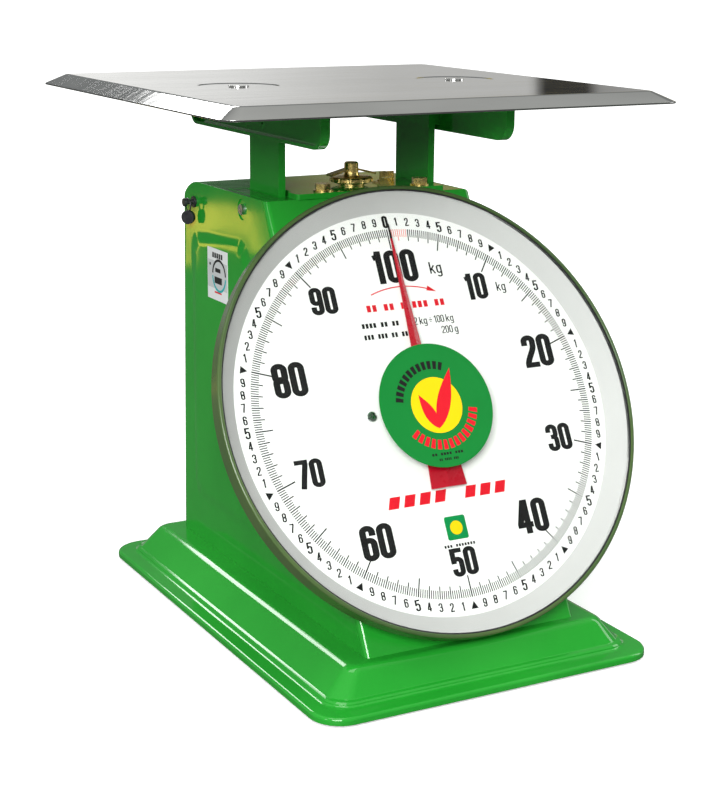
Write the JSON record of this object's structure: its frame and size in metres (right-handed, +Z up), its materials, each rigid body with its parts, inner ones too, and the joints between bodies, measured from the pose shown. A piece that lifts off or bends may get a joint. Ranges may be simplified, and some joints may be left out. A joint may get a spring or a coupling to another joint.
{
  "type": "mechanical dial platform scale",
  "caption": "Spring balance with a square polished pan on two pillars, a sloping housing on a stamped tray and a large inclined round dial with one pointer.",
  "frame": {"origin": "on the floor under the middle of the overall box", "axes": "+Z up out of the pan's flat top; the dial faces -Y, tilted back; +X is to the dial's right"},
  "size_m": [0.355, 0.4112, 0.4032],
  "materials": {
    "green_paint": "gloss enamel on stamped steel",
    "polished_steel": "polished stainless sheet",
    "rubber": "matt black",
    "plated_steel": "bright plated",
    "dark_steel": "black finish",
    "brass": "yellow passivated, machined",
    "clear_lens": "clear flat sheet",
    "badge_green": "printed film",
    "reflector_grey": "light grey ring",
    "dial_white": "printed white enamel",
    "label_white": "printed film label",
    "pointer_red": "red lacquer",
    "lead": "dull pressed lead"
  },
  "bodies": {
    "housing": {"base_plate": "green_paint", "rubber_feet": "rubber", "front_frame": "green_paint", "wrap_cover": "green_paint", "cover_screws": "plated_steel", "seal_bolt": "dark_steel", "side_label": "label_white", "dial_drum": "green_paint", "drum_screws": "plated_steel", "bezel_ring": "green_paint", "lens_gasket": "rubber", "lens": "clear_lens", "lens_badge": "badge_green", "dial_reflector": "reflector_grey", "dial_plate": "dial_white", "dial_posts": "plated_steel", "dial_screws": "dark_steel", "frame_left": "dark_steel", "frame_right": "dark_steel", "frame_top": "dark_steel", "frame_screws": "plated_steel", "bridge_plate": "green_paint", "bridge_bolts": "brass", "zero_bush": "brass", "index_clip": "brass", "lever_shafts": "plated_steel", "gear_frame": "brass", "shaft_bushes": "brass", "damper_cylinder": "plated_steel", "damper_lid": "dark_steel", "overload_stops": "plated_steel"},
    "load_frame": {"pan": "polished_steel", "pan_screws": "polished_steel", "bracket_left": "green_paint", "bracket_right": "green_paint", "bracket_screws": "green_paint", "pillar_left": "green_paint", "pillar_right": "green_paint", "guide_pins": "plated_steel", "crossbar": "dark_steel", "crossbar_screws": "plated_steel", "bimetal_arm": "brass", "rack_pin": "plated_steel", "damper_piston": "plated_steel"},
    "upper_guide": {"upper_lever": "dark_steel"},
    "lower_guide": {"lower_lever": "dark_steel"},
    "rack_slide": {"rack": "brass"},
    "pointer_arbor": {"pointer_shaft": "plated_steel", "pinion": "brass", "pointer_hub": "brass", "pointer": "pointer_red"},
    "zero_adjuster": {"zero_knob": "brass", "zero_spindle": "brass"},
    "spring_hanger": {"hanger_bar": "dark_steel", "main_springs": "plated_steel"},
    "hanging_seal": {"seal_wire": "plated_steel", "lead_seal": "lead"}
  },
  "joints": [
    {"name": "platform_travel", "type": "slide", "parent": "housing", "child": "load_frame", "axis": [0, 0, -1], "range_m": [0, 0.02495], "stiffness_N_per_m": 39300, "springref_m": -0.00109, "deforming": ["main_springs"]},
    {"name": "pointer_spin", "type": "hinge", "parent": "housing", "child": "pointer_arbor", "pos_m": [0, -0.1119, 0.1845], "axis": [0, 0.8813, -0.4726], "range_deg": [0, 360]},
    {"name": "rack_travel", "type": "slide", "parent": "housing", "child": "rack_slide", "axis": [0, -0.4726, -0.8813], "range_m": [0, 0.022]},
    {"name": "upper_guide_swing", "type": "hinge", "parent": "housing", "child": "upper_guide", "pos_m": [0, 0.12013, 0.252], "axis": [1, 0, 0], "range_deg": [0, 15.94]},
    {"name": "lower_guide_swing", "type": "hinge", "parent": "housing", "child": "lower_guide", "pos_m": [0, 0.12013, 0.124], "axis": [1, 0, 0], "range_deg": [0, 15.94]},
    {"name": "zero_turn", "type": "hinge", "parent": "housing", "child": "zero_adjuster", "pos_m": [0, 0.017, 0.33], "axis": [0, 0, 1], "range_deg": [-360, 360]},
    {"name": "hanger_lift", "type": "slide", "parent": "housing", "child": "spring_hanger", "axis": [0, 0, 1], "range_m": [-0.0008, 0.0008]},
    {"name": "seal_swing", "type": "hinge", "parent": "housing", "child": "hanging_seal", "pos_m": [-0.0906, 0.116, 0.3065], "axis": [1, 0, 0], "range_deg": [-30, 30]}
  ],
  "couplings": [
    {"joint": "pointer_spin", "follows": "platform_travel", "rad_per_m": 251.8},
    {"joint": "rack_travel", "follows": "platform_travel", "ratio": 0.8813},
    {"joint": "upper_guide_swing", "follows": "platform_travel", "rad_per_m": 11.147},
    {"joint": "lower_guide_swing", "follows": "platform_travel", "rad_per_m": 11.147},
    {"joint": "zero_turn", "follows": "hanger_lift", "rad_per_m": 7853.9}
  ]
}
